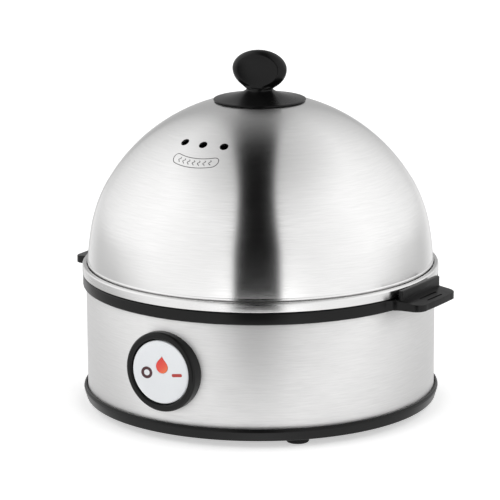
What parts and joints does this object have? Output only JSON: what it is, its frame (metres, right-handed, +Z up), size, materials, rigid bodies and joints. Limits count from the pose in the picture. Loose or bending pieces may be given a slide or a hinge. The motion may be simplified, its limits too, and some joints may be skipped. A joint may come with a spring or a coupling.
{
  "type": "egg cooker",
  "caption": "Round electric egg cooker: domed steel lid with knob, egg rack, heating bowl, eared collar, steel body with round rocker switch, base pan and feet.",
  "frame": {"origin": "on the table, under the middle of the body", "axes": "+Z up along the axis of the body and lid, -Y out through the switch, +X through one ear"},
  "size_m": [0.1992, 0.1784, 0.1733],
  "materials": {
    "brushed_steel": "fine brushed, satin",
    "bowl_steel": "satin rim, polished inside",
    "black_plastic": "satin moulded black",
    "dark_plastic": "matt moulded",
    "white_plastic": "smooth pale grey-white",
    "red_lens": "translucent red",
    "foot_rubber": "matt rubber",
    "silicone": "matt silicone",
    "zinc_steel": "bright zinc",
    "heater_aluminium": "cast, satin",
    "ceramic": "off-white glazed",
    "lead_red": "insulated lead",
    "lead_blue": "insulated lead",
    "lead_green": "insulated lead"
  },
  "bodies": {
    "housing": {"heating_bowl": "bowl_steel", "bowl_gasket": "silicone", "housing_collar": "black_plastic", "body_shell": "brushed_steel", "base_pan": "black_plastic", "rubber_foot_1": "foot_rubber", "rubber_foot_2": "foot_rubber", "rubber_foot_3": "foot_rubber", "rubber_foot_4": "foot_rubber", "base_screw_1": "zinc_steel", "base_screw_2": "zinc_steel", "base_screw_3": "zinc_steel", "base_screw_4": "zinc_steel", "heater_plate": "heater_aluminium", "heating_element": "zinc_steel", "heater_bridge": "zinc_steel", "bridge_screw_1": "zinc_steel", "bridge_screw_2": "zinc_steel", "thermostat": "ceramic", "thermal_fuse": "zinc_steel", "fuse_clip": "heater_aluminium", "switch_bezel": "black_plastic", "pivot_pin_upper": "zinc_steel", "pivot_pin_lower": "zinc_steel", "indicator_lamp": "ceramic", "switch_module": "dark_plastic", "cord_gland": "black_plastic", "cord_clamp": "dark_plastic", "clamp_screw_1": "zinc_steel", "clamp_screw_2": "zinc_steel", "terminal_block": "ceramic", "buzzer": "dark_plastic", "lead_live": "lead_red", "lead_lamp": "lead_blue", "lead_thermostat": "lead_red", "lead_element": "lead_blue", "lead_earth": "lead_green"},
    "lid": {"lid_dome": "brushed_steel", "lid_knob": "black_plastic", "knob_gasket": "silicone", "knob_washer": "zinc_steel", "knob_screw": "zinc_steel"},
    "rack": {"egg_rack": "dark_plastic"},
    "switch_rocker": {"rocker": "white_plastic", "indicator_window": "red_lens"}
  },
  "joints": [
    {"name": "lid_lift", "type": "slide", "parent": "housing", "child": "lid", "axis": [0, 0, 1], "range_m": [0, 0.25]},
    {"name": "rack_lift", "type": "slide", "parent": "housing", "child": "rack", "axis": [0, 0, 1], "range_m": [0, 0.1]},
    {"name": "rocker_tilt", "type": "hinge", "parent": "housing", "child": "switch_rocker", "pos_m": [0, -0.0845, 0.0341], "axis": [0, 0, 1], "range_deg": [-6, 0]}
  ],
  "couplings": [
    {"joint": "rack_lift", "follows": "lid_lift", "ratio": 0.4}
  ]
}
